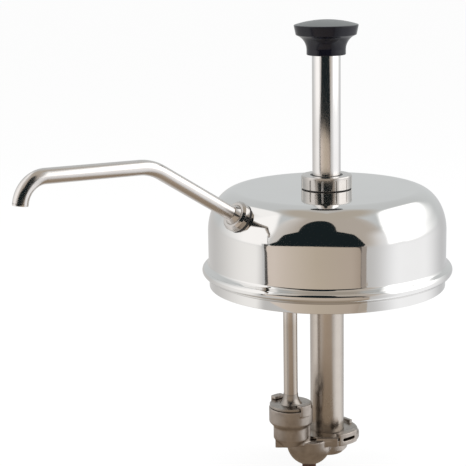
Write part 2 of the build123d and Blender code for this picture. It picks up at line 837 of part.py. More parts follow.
# ---------------------------------------------------------------- export
pieces = (
    lid_dome,
    cylinder_tube,
    cylinder_head,
    head_gasket,
    collar_gasket,
    collar_nut,
    plunger_bushing,
    spring_seat,
    return_spring,
    spring_washer,
    plunger_tube,
    plunger_foot_ring,
    plunger_rod,
    knob_insert,
    knob,
    piston_upper_washer,
    piston_seal,
    piston_lower_washer,
    piston_nut,
    discharge_tube,
    discharge_ferrule,
    discharge_inner_gasket,
    discharge_outer_gasket,
    discharge_nut,
    riser_flange,
    riser_seal_ring,
    cylinder_flange,
    cylinder_seal_ring,
    valve_body,
    ball_stop_pin,
    discharge_ball,
    suction_ball,
    inlet_seat,
)

os.makedirs("parts", exist_ok=True)
for piece in pieces:
    export_step(piece.part, f"parts/{piece.part.label}.step")
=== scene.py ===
# Condiment pump on a domed lid: the finish of its metal, rubber and plastic, and a plain studio.
# The script works in metres, in the frame's own axes, with the spout along -X.
import json
from math import atan2, ceil, cos, degrees, pi, radians, sin, sqrt, tan

import bmesh
import bpy
from mathutils import Matrix, Vector


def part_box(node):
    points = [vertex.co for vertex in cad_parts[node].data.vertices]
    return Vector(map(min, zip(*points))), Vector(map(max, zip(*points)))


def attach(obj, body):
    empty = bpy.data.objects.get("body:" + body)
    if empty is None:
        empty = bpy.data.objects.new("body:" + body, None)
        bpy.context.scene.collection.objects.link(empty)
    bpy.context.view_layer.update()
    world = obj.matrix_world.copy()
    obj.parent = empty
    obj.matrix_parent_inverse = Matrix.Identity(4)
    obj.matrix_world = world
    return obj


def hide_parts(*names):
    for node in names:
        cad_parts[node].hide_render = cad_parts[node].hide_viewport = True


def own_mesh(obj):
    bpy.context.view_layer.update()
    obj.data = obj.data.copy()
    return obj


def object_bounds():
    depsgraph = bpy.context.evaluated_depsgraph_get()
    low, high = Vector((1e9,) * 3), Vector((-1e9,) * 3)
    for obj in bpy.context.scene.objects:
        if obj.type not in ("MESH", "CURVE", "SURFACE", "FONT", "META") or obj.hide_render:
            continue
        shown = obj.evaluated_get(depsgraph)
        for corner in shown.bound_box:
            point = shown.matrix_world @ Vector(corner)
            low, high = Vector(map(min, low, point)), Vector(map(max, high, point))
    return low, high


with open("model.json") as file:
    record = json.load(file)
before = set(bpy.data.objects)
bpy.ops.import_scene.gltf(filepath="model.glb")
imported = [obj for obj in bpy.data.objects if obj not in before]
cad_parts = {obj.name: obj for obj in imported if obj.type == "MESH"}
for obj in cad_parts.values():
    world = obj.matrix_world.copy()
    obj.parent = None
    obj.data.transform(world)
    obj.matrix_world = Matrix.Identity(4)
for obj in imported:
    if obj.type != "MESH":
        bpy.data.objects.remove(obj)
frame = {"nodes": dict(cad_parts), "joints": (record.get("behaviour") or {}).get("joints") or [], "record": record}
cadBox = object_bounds()
scene = bpy.context.scene
mm = 0.001
print("frame loaded,", len(frame["nodes"]), "nodes")


# ---- meshes
def addMesh(name, points, faces, sharpAngle=32):
    mesh = bpy.data.meshes.new(name)
    mesh.from_pydata(points, [], faces)
    mesh.update()
    piece = bpy.data.objects.new(name, mesh)
    scene.collection.objects.link(piece)
    tidyNormals(piece, sharpAngle)
    return piece


def tidyNormals(piece, sharpAngle=32):
    shape = bmesh.new()
    shape.from_mesh(piece.data)
    bmesh.ops.recalc_face_normals(shape, faces=shape.faces)
    shape.to_mesh(piece.data)
    shape.free()
    piece.data.shade_smooth()
    piece.data.set_sharp_from_angle(angle=radians(sharpAngle))


def arc(centre, radius, start, end, step=6):
    # points of an arc, angles in degrees
    count = max(2, ceil(abs(end - start) / step))
    turns = [radians(start + (end - start) * i / count) for i in range(count + 1)]
    return [(centre[0] + radius * cos(t), centre[1] + radius * sin(t)) for t in turns]


def evenly(low, high, count):
    return [low + (high - low) * i / count for i in range(count + 1)]


def eased(corners, closed=True, step=12):
    # an outline of (across, along, rounding) corners, each rounding worked out as an arc
    outline = []
    last = len(corners) - 1
    for i, (across, along, rounding) in enumerate(corners):
        here = Vector((across, along))
        if rounding == 0 or (not closed and i in (0, last)):
            outline.append(tuple(here))
            continue
        toward = (Vector(corners[i - 1][:2]) - here).normalized()
        onward = (Vector(corners[(i + 1) % len(corners)][:2]) - here).normalized()
        between = toward.angle(onward)
        centre = here + (toward + onward).normalized() * rounding / sin(between / 2)
        first = here + toward * rounding / tan(between / 2) - centre
        turn = pi - between
        if toward.x * onward.y - toward.y * onward.x > 0:
            turn = -turn
        count = max(2, ceil(degrees(abs(turn)) / step))
        for k in range(count + 1):
            point = centre + Matrix.Rotation(turn * k / count, 2) @ first
            outline.append(tuple(point))
    return outline


def strung(name, rings, closed=False, sharpAngle=32):
    # a skin over rings of points; a ring of one point closes the skin to a tip
    points = [point for ring in rings for point in ring]
    starts = [sum(len(ring) for ring in rings[:i]) for i in range(len(rings))]
    pairs = list(zip(range(len(rings) - 1), range(1, len(rings))))
    if closed:
        pairs.append((len(rings) - 1, 0))
    faces = []
    for a, b in pairs:
        count = max(len(rings[a]), len(rings[b]))
        for k in range(count):
            corners = []
            for ring, turn in ((a, k), (a, k + 1), (b, k + 1), (b, k)):
                corner = starts[ring] + turn % len(rings[ring])
                if corner not in corners:
                    corners.append(corner)
            if len(corners) > 2:
                faces.append(corners)
    return addMesh(name, points, faces, sharpAngle)


def turned(name, outline, steps=128, place=None, sharpAngle=32, swell=None):
    # a turned piece from (radius, height) points; swell changes the radius by angle and height
    rings = []
    for radius, height in outline:
        if radius < 1e-7:
            rings.append([(0, 0, height)])
            continue
        ring = []
        for k in range(steps):
            turn = 2 * pi * k / steps
            reach = swell(radius, height, turn) if swell else radius
            ring.append((reach * cos(turn), reach * sin(turn), height))
        rings.append(ring)
    closed = outline[0][0] > 1e-7
    piece = strung(name, rings, closed, sharpAngle)
    if place:
        piece.data.transform(place)
    return piece


def cutAway(piece, cutter):
    # takes the cutter's shape out of the piece, then drops the cutter
    cut = piece.modifiers.new("cut", "BOOLEAN")
    cut.object = cutter
    cut.operation = "DIFFERENCE"
    cut.solver = "EXACT"
    applyModifiers(piece)
    bpy.data.objects.remove(cutter)


def applyModifiers(piece):
    graph = bpy.context.evaluated_depsgraph_get()
    mesh = bpy.data.meshes.new_from_object(piece.evaluated_get(graph))
    piece.modifiers.clear()
    piece.data = mesh


def copyNode(name, node):
    # the CAD node's own solid as a free mesh, welded and with its flat faces whole
    mesh = frame["nodes"][node].data.copy()
    piece = bpy.data.objects.new(name, mesh)
    scene.collection.objects.link(piece)
    shape = bmesh.new()
    shape.from_mesh(mesh)
    bmesh.ops.remove_doubles(shape, verts=shape.verts, dist=0.002 * mm)
    bmesh.ops.dissolve_limit(shape, angle_limit=radians(0.6), verts=shape.verts, edges=shape.edges)
    shape.to_mesh(mesh)
    shape.free()
    return piece


def broken(name, node, width, edgeAngle=28):
    # the CAD node with its edges broken, as after deburring
    piece = copyNode(name, node)
    bevel = piece.modifiers.new("edges", "BEVEL")
    bevel.width = width
    bevel.segments = 3
    bevel.limit_method = "ANGLE"
    bevel.angle_limit = radians(edgeAngle)
    bevel.harden_normals = False
    applyModifiers(piece)
    piece.data.shade_smooth()
    piece.data.set_sharp_from_angle(angle=radians(edgeAngle))
    return piece


nodeBody = {}
for bodyName, members in frame["record"]["behaviour"]["bodies"].items():
    for member in members:
        nodeBody[member] = bodyName


def dress(piece, material, slotName, *nodes):
    # finish, slot name (not used), replaced nodes and body of a piece; it rides with the first node it stands for
    piece.data.materials.clear()
    piece.data.materials.append(material)
    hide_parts(*nodes)
    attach(piece, nodeBody[nodes[0]])
    return piece


# ---- materials
class Signal:
    # a node's output; the operators add Math nodes behind it
    def __init__(self, graph, output):
        self.graph = graph
        self.output = output

    def maths(self, operation, *values):
        return self.graph.node("ShaderNodeMath", {"operation": operation}, dict(enumerate(values)))[0]

    def __add__(self, other):
        return self.maths("ADD", self, other)

    def __radd__(self, other):
        return self.maths("ADD", other, self)

    def __sub__(self, other):
        return self.maths("SUBTRACT", self, other)

    def __rsub__(self, other):
        return self.maths("SUBTRACT", other, self)

    def __mul__(self, other):
        return self.maths("MULTIPLY", self, other)

    def __rmul__(self, other):
        return self.maths("MULTIPLY", other, self)

    def larger(self, other):
        return self.maths("MAXIMUM", self, other)

    def clamp(self):
        return self.graph.node("ShaderNodeClamp", {}, {"Value": self})[0]


class Graph:
    # a node tree and the one way to add any node to it
    def __init__(self, tree):
        self.tree = tree

    def node(self, kind, settings, inputs):
        made = self.tree.nodes.new(kind)
        for key, value in settings.items():
            setattr(made, key, value)
        for key, value in inputs.items():
            self.feed(made.inputs[key], value)
        return {**{i: Signal(self, o) for i, o in enumerate(made.outputs)},
                **{o.name: Signal(self, o) for o in made.outputs}}

    def feed(self, socket, value):
        if isinstance(value, Signal):
            self.tree.links.new(value.output, socket)
        elif isinstance(value, tuple) and len(value) == 3 and socket.type == "RGBA":
            socket.default_value = (*value, 1)
        else:
            socket.default_value = value

    def seen(self):
        # 1 for camera, glossy and transmission rays, else 0
        path = self.node("ShaderNodeLightPath", {}, {})
        return path["Is Camera Ray"].larger(path["Is Glossy Ray"]).larger(path["Is Transmission Ray"])


class Shader(Graph):
    # a material, its Principled surface and the textures it is painted with
    def __init__(self, name):
        self.material = bpy.data.materials.new(name)
        self.material.use_nodes = True
        super().__init__(self.material.node_tree)
        self.surface = self.tree.nodes["Principled BSDF"]

    def finish(self, **inputs):
        # the Principled sockets, with words joined: baseColor, coatWeight
        names = {"".join(s.name.split()).lower(): s for s in self.surface.inputs}
        for key, value in inputs.items():
            self.feed(names[key.lower()], value)
        return self.material

    def show(self, surface):
        # another surface in place of the Principled one
        self.feed(self.tree.nodes["Material Output"].inputs["Surface"], surface)
        return self.material

    def place(self):
        return self.node("ShaderNodeTexCoord", {}, {})["Object"]

    def height(self):
        return self.node("ShaderNodeSeparateXYZ", {}, {"Vector": self.place()})["Z"]

    def stretched(self, scale):
        return self.node("ShaderNodeMapping", {}, {"Vector": self.place(), "Scale": scale})[0]

    def noise(self, where, scale, detail=3.0, roughness=0.5):
        inputs = {"Vector": where, "Scale": scale, "Detail": detail, "Roughness": roughness}
        return self.node("ShaderNodeTexNoise", {}, inputs)["Fac"]

    def mixed(self, factor, first, second):
        inputs = {"Factor": factor, 6: first, 7: second}
        return self.node("ShaderNodeMix", {"data_type": "RGBA"}, inputs)[2]

    def bump(self, height, strength, distance):
        inputs = {"Height": height, "Strength": strength, "Distance": distance}
        return self.node("ShaderNodeBump", {}, inputs)[0]


polishedValues = {
    "colour": (0.76, 0.755, 0.745),
    "rub": (0.70, 0.69, 0.675),
    "roughness": 0.045,
    "haze": 0.05,
    "ripple": 0.03,
    "rippleDepth": 0.4 * mm,
}


def polishedSteel():
    # mirror-polished stainless sheet, with faint haze and the slightest spinning ripple
    shader = Shader("polishedSteel")
    haze = shader.noise(shader.place(), 22.0, 4.0)
    fine = shader.noise(shader.stretched((40, 40, 900)), 1.0, 2.0)
    ripple = shader.noise(shader.stretched((9, 9, 60)), 1.0, 1.0)
    colour = shader.mixed(haze, polishedValues["colour"], polishedValues["rub"])
    return shader.finish(
        baseColor=colour,
        metallic=1.0,
        roughness=polishedValues["roughness"] + haze * fine * polishedValues["haze"],
        normal=shader.bump(ripple, polishedValues["ripple"], polishedValues["rippleDepth"]),
    )


grainDepth = 0.1 * mm  # how deep the fine lines and grain of every other finish stand

tubeFinishes = {
    "buffedSteel": {
        "colour": (0.80, 0.785, 0.775), "stain": (0.74, 0.72, 0.70), "rough": 0.11, "spread": 0.05,
    },
    "satinSteel": {
        "colour": (0.71, 0.685, 0.665), "stain": (0.63, 0.60, 0.575), "rough": 0.17, "spread": 0.07,
        # painted shade: the darker colour the satin tube takes below the lid
        "belowLid": (0.47, 0.42, 0.37),
    },
    # drawn finish for the cylinder under the lid: rougher, and its darker colour is painted shade
    "drawnSteel": {
        "colour": (0.58, 0.53, 0.48), "stain": (0.50, 0.45, 0.40), "rough": 0.22, "spread": 0.08,
    },
}


def tubeSteel(name):
    # tube with faint lines round it and soft handling marks, and for the satin finish painted shade below the lid
    finish = tubeFinishes[name]
    shader = Shader(name)
    lines = shader.noise(shader.stretched((30, 30, 1400)), 1.0, 2.0)
    marks = shader.noise(shader.place(), 60.0, 4.0, 0.55)
    colour = shader.mixed(marks, finish["colour"], finish["stain"])
    if "belowLid" in finish:
        # painted shade: the satin tube is darker from 15 mm to 40 mm below the lid rim
        low = (shader.height() * -40.0 - 0.6).clamp()  # from 15 mm to 40 mm below the rim
        colour = shader.mixed(low, colour, finish["belowLid"])
    return shader.finish(
        baseColor=colour,
        metallic=1.0,
        roughness=finish["rough"] + marks * finish["spread"],
        normal=shader.bump(lines, 0.02, grainDepth),
    )


machinedFinishes = {
    "machinedSteel": {"colour": (0.62, 0.595, 0.57), "dark": (0.46, 0.43, 0.405), "rough": 0.14},
    # a darker copy of the machined finish for the two plates under the lid: painted shade
    "plateSteel": {"colour": (0.40, 0.365, 0.33), "dark": (0.20, 0.18, 0.16), "rough": 0.22},
}


def machinedSteel(name):
    # turned stainless fittings: fine tool lines and darker traces
    finish = machinedFinishes[name]
    shader = Shader(name)
    lines = shader.noise(shader.stretched((60, 60, 1800)), 1.0, 2.0)
    marks = shader.noise(shader.place(), 160.0, 4.0, 0.55)
    return shader.finish(
        baseColor=shader.mixed(marks * marks, finish["colour"], finish["dark"]),
        metallic=1.0,
        roughness=finish["rough"] + lines * 0.07,
        normal=shader.bump(lines, 0.03, grainDepth),
    )


castValues = {
    "colour": (0.44, 0.395, 0.355),
    "dark": (0.19, 0.16, 0.135),
    "roughness": 0.27,
    "grainDepth": 0.25 * mm,
}


def castSteel():
    # investment-cast and tumbled stainless: dull, grained, darker in its pits
    shader = Shader("castSteel")
    grain = shader.noise(shader.place(), 900.0, 4.0, 0.65)
    clouds = shader.noise(shader.place(), 120.0, 4.0, 0.6)
    pits = (clouds * 1.6 - 0.55).clamp()
    return shader.finish(
        baseColor=shader.mixed(pits * 0.8, castValues["colour"], castValues["dark"]),
        metallic=1.0,
        roughness=castValues["roughness"] + grain * 0.16,
        normal=shader.bump(grain, 0.30, castValues["grainDepth"]),
    )


wireValues = {"colour": (0.52, 0.51, 0.50), "dark": (0.38, 0.37, 0.36), "roughness": 0.24}


def springSteel():
    # drawn wire with its long drawing lines
    shader = Shader("springSteel")
    lines = shader.noise(shader.place(), 600.0, 3.0)
    return shader.finish(
        baseColor=shader.mixed(lines, wireValues["colour"], wireValues["dark"]),
        metallic=1.0,
        roughness=wireValues["roughness"] + lines * 0.12,
    )


ballValues = {"colour": (0.68, 0.67, 0.66), "dark": (0.60, 0.59, 0.58), "roughness": 0.06}


def ballSteel():
    # ground ball, almost a mirror
    shader = Shader("ballSteel")
    haze = shader.noise(shader.place(), 300.0, 3.0)
    return shader.finish(
        baseColor=shader.mixed(haze, ballValues["colour"], ballValues["dark"]),
        metallic=1.0,
        roughness=ballValues["roughness"] + haze * 0.06,
    )


phenolicValues = {
    "colour": (0.003, 0.003, 0.006),
    "worn": (0.006, 0.006, 0.009),
    "palm": (0.085, 0.09, 0.09),
    "palmHeight": 4.6 * mm,
    "roughness": 0.10,
    "specular": 0.3,
}


def blackPhenolic():
    # moulded black phenolic, with painted sheen: its crown is lighter grey and rougher
    shader = Shader("blackPhenolic")
    smears = shader.noise(shader.place(), 55.0, 4.0, 0.55)
    grain = shader.noise(shader.place(), 1500.0, 2.0)
    body = shader.mixed(smears * grain, phenolicValues["colour"], phenolicValues["worn"])
    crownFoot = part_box("knob")[1].z - phenolicValues["palmHeight"]
    # painted sheen: the crown's top is mixed toward a lighter grey
    palm = ((shader.height() - crownFoot) * 1500.0).clamp()
    return shader.finish(
        baseColor=shader.mixed(palm, body, phenolicValues["palm"]),
        roughness=phenolicValues["roughness"] + smears * 0.08 + palm * 0.2,
        specularIORLevel=phenolicValues["specular"],
        normal=shader.bump(grain, 0.02, grainDepth),
    )


bushingValues = {"colour": (0.018, 0.018, 0.018), "pale": (0.035, 0.034, 0.033), "roughness": 0.42}


def bushingPlastic():
    # black acetal with turning lines
    shader = Shader("bushingPlastic")
    lines = shader.noise(shader.stretched((100, 100, 3000)), 1.0, 2.0)
    return shader.finish(
        baseColor=shader.mixed(lines, bushingValues["colour"], bushingValues["pale"]),
        roughness=bushingValues["roughness"] + lines * 0.1,
        normal=shader.bump(lines, 0.06, grainDepth),
    )


rubberValues = {"colour": (0.012, 0.011, 0.011), "bloom": (0.034, 0.032, 0.031), "roughness": 0.52}


def sealRubber():
    # black nitrile with a bloom of talc
    shader = Shader("sealRubber")
    bloom = shader.noise(shader.place(), 420.0, 5.0, 0.6)
    return shader.finish(
        baseColor=shader.mixed(bloom, rubberValues["colour"], rubberValues["bloom"]),
        roughness=rubberValues["roughness"] + bloom * 0.18,
        normal=shader.bump(bloom, 0.10, grainDepth),
    )


seatValues = {"colour": (0.060, 0.020, 0.014), "dark": (0.034, 0.012, 0.010), "roughness": 0.30}


def seatPlastic():
    # dark reddish-brown moulded seat
    shader = Shader("seatPlastic")
    clouds = shader.noise(shader.place(), 260.0, 4.0, 0.6)
    return shader.finish(
        baseColor=shader.mixed(clouds, seatValues["colour"], seatValues["dark"]),
        roughness=seatValues["roughness"] + clouds * 0.14,
        normal=shader.bump(clouds, 0.05, grainDepth),
    )


materials = {
    "polished_steel": polishedSteel(),
    "satin_steel": tubeSteel("satinSteel"),
    "machined_steel": machinedSteel("machinedSteel"),
    "cast_steel": castSteel(),
    "spring_steel": springSteel(),
    "ball_steel": ballSteel(),
    "black_phenolic": blackPhenolic(),
    "bushing_plastic": bushingPlastic(),
    "seal_rubber": sealRubber(),
    "seat_plastic": seatPlastic(),
}
# the plates' darker machined finish is painted shade
plateSteel = machinedSteel("plateSteel")
nodeFinish = {
    "plunger_tube": tubeSteel("buffedSteel"),
    # the cylinder's darker colour is painted shade under the lid
    "cylinder_tube": tubeSteel("drawnSteel"),
    "riser_flange": plateSteel,
    "cylinder_flange": plateSteel,
}
nodeSlot = {n: o.material_slots[0].material.name.split(".")[0] for n, o in frame["nodes"].items()}
for nodeName, node in frame["nodes"].items():
    node.material_slots[0].material = materials[nodeSlot[nodeName]]
print("materials made:", len(materials))


def dressNode(piece, *nodes):
    slotName = nodeSlot[nodes[0]]
    return dress(piece, nodeFinish.get(nodes[0], materials[slotName]), slotName, *nodes)


# ---- lid
lidValues = {
    "wall": 107.5 * mm,
    "skirt": 107.0 * mm,
    "bead": 6.1 * mm,
    "nose": 116.9 * mm,
    "noseRound": 4.3 * mm,
    "flank": 111.4 * mm,
    "flankRise": 3.2 * mm,
    "flankDrop": 4.0 * mm,
    "flankRound": 16.0 * mm,
    "wallCrease": (11.4 * mm, 3.2 * mm),
    "skirtCrease": (-0.6 * mm, 1.0 * mm),
    "shoulderRun": 27.1 * mm,
    "shoulderDrop": 37.5 * mm,
    "sheet": 1.0 * mm,
    "throat": 18.8 * mm,
    "fittingHole": 9.3 * mm,
    "fittingReach": 10 * mm,
    "hem": 0.45 * mm,
    "riseAngle": 31.5,
    "flatSteps": 16,
    "shoulderSteps": 60,
    "wallSteps": 10,
    "steps": 320,
}
lidLow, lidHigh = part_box("lid_dome")
shoulderCentre = lidValues["wall"] - lidValues["shoulderRun"]
shoulderFoot = lidHigh.z - lidValues["shoulderDrop"]


def drawnIn(corners, inset):
    # the outline moved sideways, with its outer corners tighter and its inner corners wider
    moved = []
    for i, (across, along, rounding) in enumerate(corners):
        sides = []
        for first, last in ((i - 1, i), (i, i + 1)):
            if first >= 0 and last < len(corners):
                way = (Vector(corners[last][:2]) - Vector(corners[first][:2])).normalized()
                sides.append(Vector((way.y, -way.x)))
        before, after = sides[0], sides[-1]
        spot = Vector((across, along)) + (before + after) * inset / (1 + before.dot(after))
        wider = inset if before.cross(after) > 0 else -inset
        moved.append((*spot, max(0.2 * mm, rounding + wider) if rounding else 0))
    return moved


def lidSide(inset):
    # the sheet's face from the throat down to the skirt, drawn inset from the outside
    run = lidValues["shoulderRun"] - inset
    drop = lidValues["shoulderDrop"] - inset
    flat = evenly(lidValues["throat"], shoulderCentre, lidValues["flatSteps"])[:-1]
    flat += [shoulderCentre - 1.2 * mm, shoulderCentre - 0.4 * mm]  # keeps the flat true up to its edge
    side = [(reach, lidHigh.z - inset) for reach in flat]
    for turn in evenly(pi / 2, 0, lidValues["shoulderSteps"])[1:]:
        side.append((shoulderCentre + run * cos(turn), shoulderFoot + drop * sin(turn)))
    bead = lidValues["bead"]
    corners = [
        (lidValues["wall"], shoulderFoot, 0),
        (lidValues["wall"], *lidValues["wallCrease"]),
        (lidValues["flank"], bead + lidValues["flankRise"], lidValues["flankRound"]),
        (lidValues["nose"], bead, lidValues["noseRound"]),
        (lidValues["flank"], bead - lidValues["flankDrop"], lidValues["flankRound"]),
        (lidValues["skirt"], *lidValues["skirtCrease"]),
        (lidValues["skirt"], lidLow.z + lidValues["hem"], 0),
    ]
    wallFoot = sum(lidValues["wallCrease"])
    wall = lidValues["wall"] - inset
    side += [(wall, height) for height in evenly(shoulderFoot, wallFoot, lidValues["wallSteps"])[1:]]
    return side + eased(drawnIn(corners, inset), False, 5)[1:]


def makeLid():
    outside = lidSide(0)
    inside = lidSide(lidValues["sheet"])
    middle = lidValues["skirt"] - lidValues["sheet"] / 2
    hem = arc((middle, lidLow.z + lidValues["sheet"] / 2), lidValues["sheet"] / 2, 0, -180, 20)
    piece = turned("lidShell", outside[:-1] + hem + inside[:-1][::-1], lidValues["steps"])
    hole, reach = lidValues["fittingHole"], lidValues["fittingReach"]
    drill = [(0, -reach), (hole, -reach), (hole, reach), (0, reach)]
    cutAway(piece, turned("fittingHole", drill, 96, fittingPlace))
    piece.data.shade_smooth()
    piece.data.set_sharp_from_angle(angle=radians(50))
    return dressNode(piece, "lid_dome")


def placeAlong(origin, direction):
    # a place whose Z points along direction
    return Matrix.Translation(origin) @ Vector(direction).to_track_quat("Z", "Y").to_matrix().to_4x4()


riseAngle = radians(lidValues["riseAngle"])
entryTurn = atan2(lidValues["shoulderDrop"] * tan(riseAngle), lidValues["shoulderRun"])
entry = Vector((
    -shoulderCentre - lidValues["shoulderRun"] * cos(entryTurn),
    0,
    shoulderFoot + lidValues["shoulderDrop"] * sin(entryTurn),
))
fittingPlace = placeAlong(entry, (-cos(riseAngle), 0, sin(riseAngle)))
makeLid()
print("lid made")

# ---- collar nut
collarValues = {
    "flutes": 12,
    "fluteTurn": 9.1,
    "fluteRadius": 0.8 * mm,
    "fluteDepth": 0.45 * mm,
    "chamfer": 0.7 * mm,
    "lip": 1.5 * mm,
    "mouth": 14.6 * mm,
    "thread": 18.55 * mm,
    "bushingFlange": 1.5 * mm,
    "ease": 0.25 * mm,
    "stepsPerFlute": 72,
}
collarLow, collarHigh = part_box("collar_nut")


def fluted(radius, height, turn):
    # narrow round flutes that run out below the top lip
    if radius < collarValues["thread"] + 1 * mm:
        return radius
    pitch = 2 * pi / collarValues["flutes"]
    away = abs((turn - radians(collarValues["fluteTurn"]) + pitch / 2) % pitch - pitch / 2) * collarHigh.x
    room = collarHigh.z - collarValues["lip"] - collarValues["chamfer"] - height
    groove = collarValues["fluteRadius"]
    depth = collarValues["fluteDepth"] * min(1, max(0, room / (0.5 * mm)))
    if depth <= 0 or away >= groove:
        return radius
    cut = sqrt(groove**2 - away**2) - (groove - depth)
    return min(radius, collarHigh.x - max(0, cut))


def makeCollar():
    reach = collarHigh.x
    shelf = collarHigh.z - collarValues["chamfer"] - collarValues["lip"]
    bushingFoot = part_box("plunger_bushing")[1].z - collarValues["bushingFlange"]
    corners = [
        (collarValues["mouth"], collarHigh.z, 0.3 * mm),
        (reach - collarValues["chamfer"], collarHigh.z, 0.15 * mm),
        (reach, collarHigh.z - collarValues["chamfer"], 0.15 * mm),
        (reach, shelf + 0.05 * mm, 0),
        (reach, shelf - 0.3 * mm, 0),
        (reach, shelf - 0.6 * mm, 0),
        (reach, collarLow.z, collarValues["ease"]),
        (collarValues["thread"], collarLow.z, 0.3 * mm),
        (collarValues["thread"], bushingFoot, 0),
        (collarValues["mouth"], bushingFoot, 0.2 * mm),
    ]
    steps = collarValues["flutes"] * collarValues["stepsPerFlute"]
    piece = turned("collarNut", eased(corners), steps, swell=fluted, sharpAngle=24)
    return dressNode(piece, "collar_nut")


makeCollar()
print("collar nut made")

# ---- discharge tube
tubeValues = {
    "radius": 6.35 * mm,
    "wall": 0.9 * mm,
    "spacing": 44.3 * mm,
    "riseLength": 106.5 * mm,
    "spoutRun": 120.0 * mm,
    "spoutAngle": 2.7,
    "tipAngle": 82.0,
    "tipLength": 21.5 * mm,
    "bends": (30.0 * mm, 45.0 * mm, 22.0 * mm),
    "mouthEase": 0.3 * mm,
    "steps": 72,
}


def along(start, angle, length):
    # the point at a length from start, the angle measured up from the -X side
    return Vector((start.x - length * cos(angle), 0, start.z + length * sin(angle)))


def bentRoute(corners, bends):
    # stations of (point, direction) along straight runs joined by bends
    stations = [(corners[0], (corners[1] - corners[0]).normalized())]
    for before, here, after, bend in zip(corners, corners[1:], corners[2:], bends):
        arriving = (here - before).normalized()
        leaving = (after - here).normalized()
        turn = arriving.angle(leaving)
        reach = bend * tan(turn / 2)
        axis = arriving.cross(leaving).normalized()
        inward = axis.cross(arriving)
        start = here - arriving * reach
        centre = start + inward * bend
        count = ceil(degrees(turn) / 2.5)
        for k in range(count + 1):
            swing = Matrix.Rotation(turn * k / count, 3, axis)
            stations.append((centre - swing @ (inward * bend), swing @ arriving))
    stations.append((corners[-1], (corners[-1] - corners[-2]).normalized()))
    return stations


def tubeRing(point, direction, radius, steps):
    side = Vector((0, 1, 0))
    up = direction.cross(side)
    turns = (2 * pi * k / steps for k in range(steps))
    return [point + (side * cos(t) + up * sin(t)) * radius for t in turns]


def makeDischargeTube():
    foot = Vector((-tubeValues["spacing"], 0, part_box("riser_flange")[0].z))
    riserCorner = Vector((
        -tubeValues["spacing"], 0, entry.z + (entry.x + tubeValues["spacing"]) * tan(riseAngle)))
    riseCorner = along(entry, riseAngle, tubeValues["riseLength"])
    tipCorner = along(riseCorner, radians(tubeValues["spoutAngle"]), tubeValues["spoutRun"])
    tipEnd = along(tipCorner, -radians(tubeValues["tipAngle"]), tubeValues["tipLength"])
    stations = bentRoute([foot, riserCorner, riseCorner, tipCorner, tipEnd], tubeValues["bends"])
    outer, inner = tubeValues["radius"], tubeValues["radius"] - tubeValues["wall"]
    ease = tubeValues["mouthEase"]
    end, way = stations[-1]
    rings = [(p, d, outer) for p, d in stations[:-1]]
    lip = eased([(outer, -2 * mm, 0), (outer, 0, ease), (inner, 0, ease), (inner, -2 * mm, 0)], False)
    rings += [(end + way * height, way, radius) for radius, height in lip]
    rings += [(p, d, inner) for p, d in stations[:-1][::-1]]
    skin = [tubeRing(p, d, r, tubeValues["steps"]) for p, d, r in rings]
    piece = strung("dischargeTube", skin, closed=True)
    return dressNode(piece, "discharge_tube")


makeDischargeTube()
print("discharge tube made")

# ---- discharge fitting on the lid's shoulder
fittingValues = {
    "tube": 6.35 * mm,
    "thread": 9.0 * mm,
    "flange": 12.5 * mm,
    "flangeTop": -4.6 * mm,
    "flangeHeight": 3.4 * mm,
    "gasketTop": 0.6 * mm,
    "nut": 13.4 * mm,
    "nutHeight": 6.8 * mm,
    "flats": 12,
    "flatDepth": 0.25 * mm,
    "edge": 2.2 * mm,
    "proud": 4.4 * mm,
    "lip": 0.6 * mm,
}


def makeFerrule():
    nutTop = fittingValues["gasketTop"] + fittingValues["nutHeight"]
    top = nutTop + fittingValues["proud"]
    foot = fittingValues["flangeTop"] - fittingValues["flangeHeight"]
    corners = [
        (fittingValues["tube"], foot, 0),
        (fittingValues["flange"], foot, 0.3 * mm),
        (fittingValues["flange"], fittingValues["flangeTop"], 0.3 * mm),
        (fittingValues["thread"], fittingValues["flangeTop"], 0),
        (fittingValues["thread"], nutTop, 0.8 * mm),
        (fittingValues["tube"] + fittingValues["lip"], top, 0.4 * mm),
        (fittingValues["tube"], top, 0),
    ]
    return dressNode(turned("ferrule", eased(corners), 96, fittingPlace), "discharge_ferrule")


def flatted(radius, height, turn):
    # a round nut with shallow wrench flats
    pitch = 2 * pi / fittingValues["flats"]
    away = (turn + pitch / 2) % pitch - pitch / 2
    return min(radius, (fittingValues["nut"] - fittingValues["flatDepth"]) / cos(away))


def makeFittingNut():
    foot = fittingValues["gasketTop"]
    top = foot + fittingValues["nutHeight"]
    bore = fittingValues["thread"] + 0.05 * mm
    reach, edge = fittingValues["nut"], fittingValues["edge"]
    corners = [
        (bore, foot, 0.2 * mm),
        (reach, foot, 0.3 * mm),
        (reach, top - edge, 0.4 * mm),
        (reach - edge, top, 0.4 * mm),
        (bore, top, 0.3 * mm),
    ]
    piece = turned("fittingNut", eased(corners), 192, fittingPlace, swell=flatted)
    return dressNode(piece, "discharge_nut")


makeFerrule()
makeFittingNut()
print("discharge fitting made")

# ---- plunger and knob
plungerValues = {"wall": 1.2 * mm, "ease": 0.3 * mm, "steps": 128}


def makePlungerTube():
    low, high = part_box("plunger_tube")
    outer, inner = high.x, high.x - plungerValues["wall"]
    ease = plungerValues["ease"]
    corners = [(outer, low.z, ease), (outer, high.z, ease), (inner, high.z, ease), (inner, low.z, ease)]
    return dressNode(turned("plungerTube", eased(corners), plungerValues["steps"]), "plunger_tube")


knobValues = {
    "neck": 17.4 * mm,
    "neckHeight": 4.3 * mm,
    "flare": 23.8 * mm,
    "bandFoot": 26.9 * mm,
    "step": 1.6 * mm,
    "rim": 28.7 * mm,
    "band": 8.5 * mm,
    "crown": 4.5 * mm,
    "edge": 0.8 * mm,
    "socket": 12.7 * mm,
    "stud": 9.0 * mm,
    "studHeight": 10 * mm,
    "steps": 192,
}


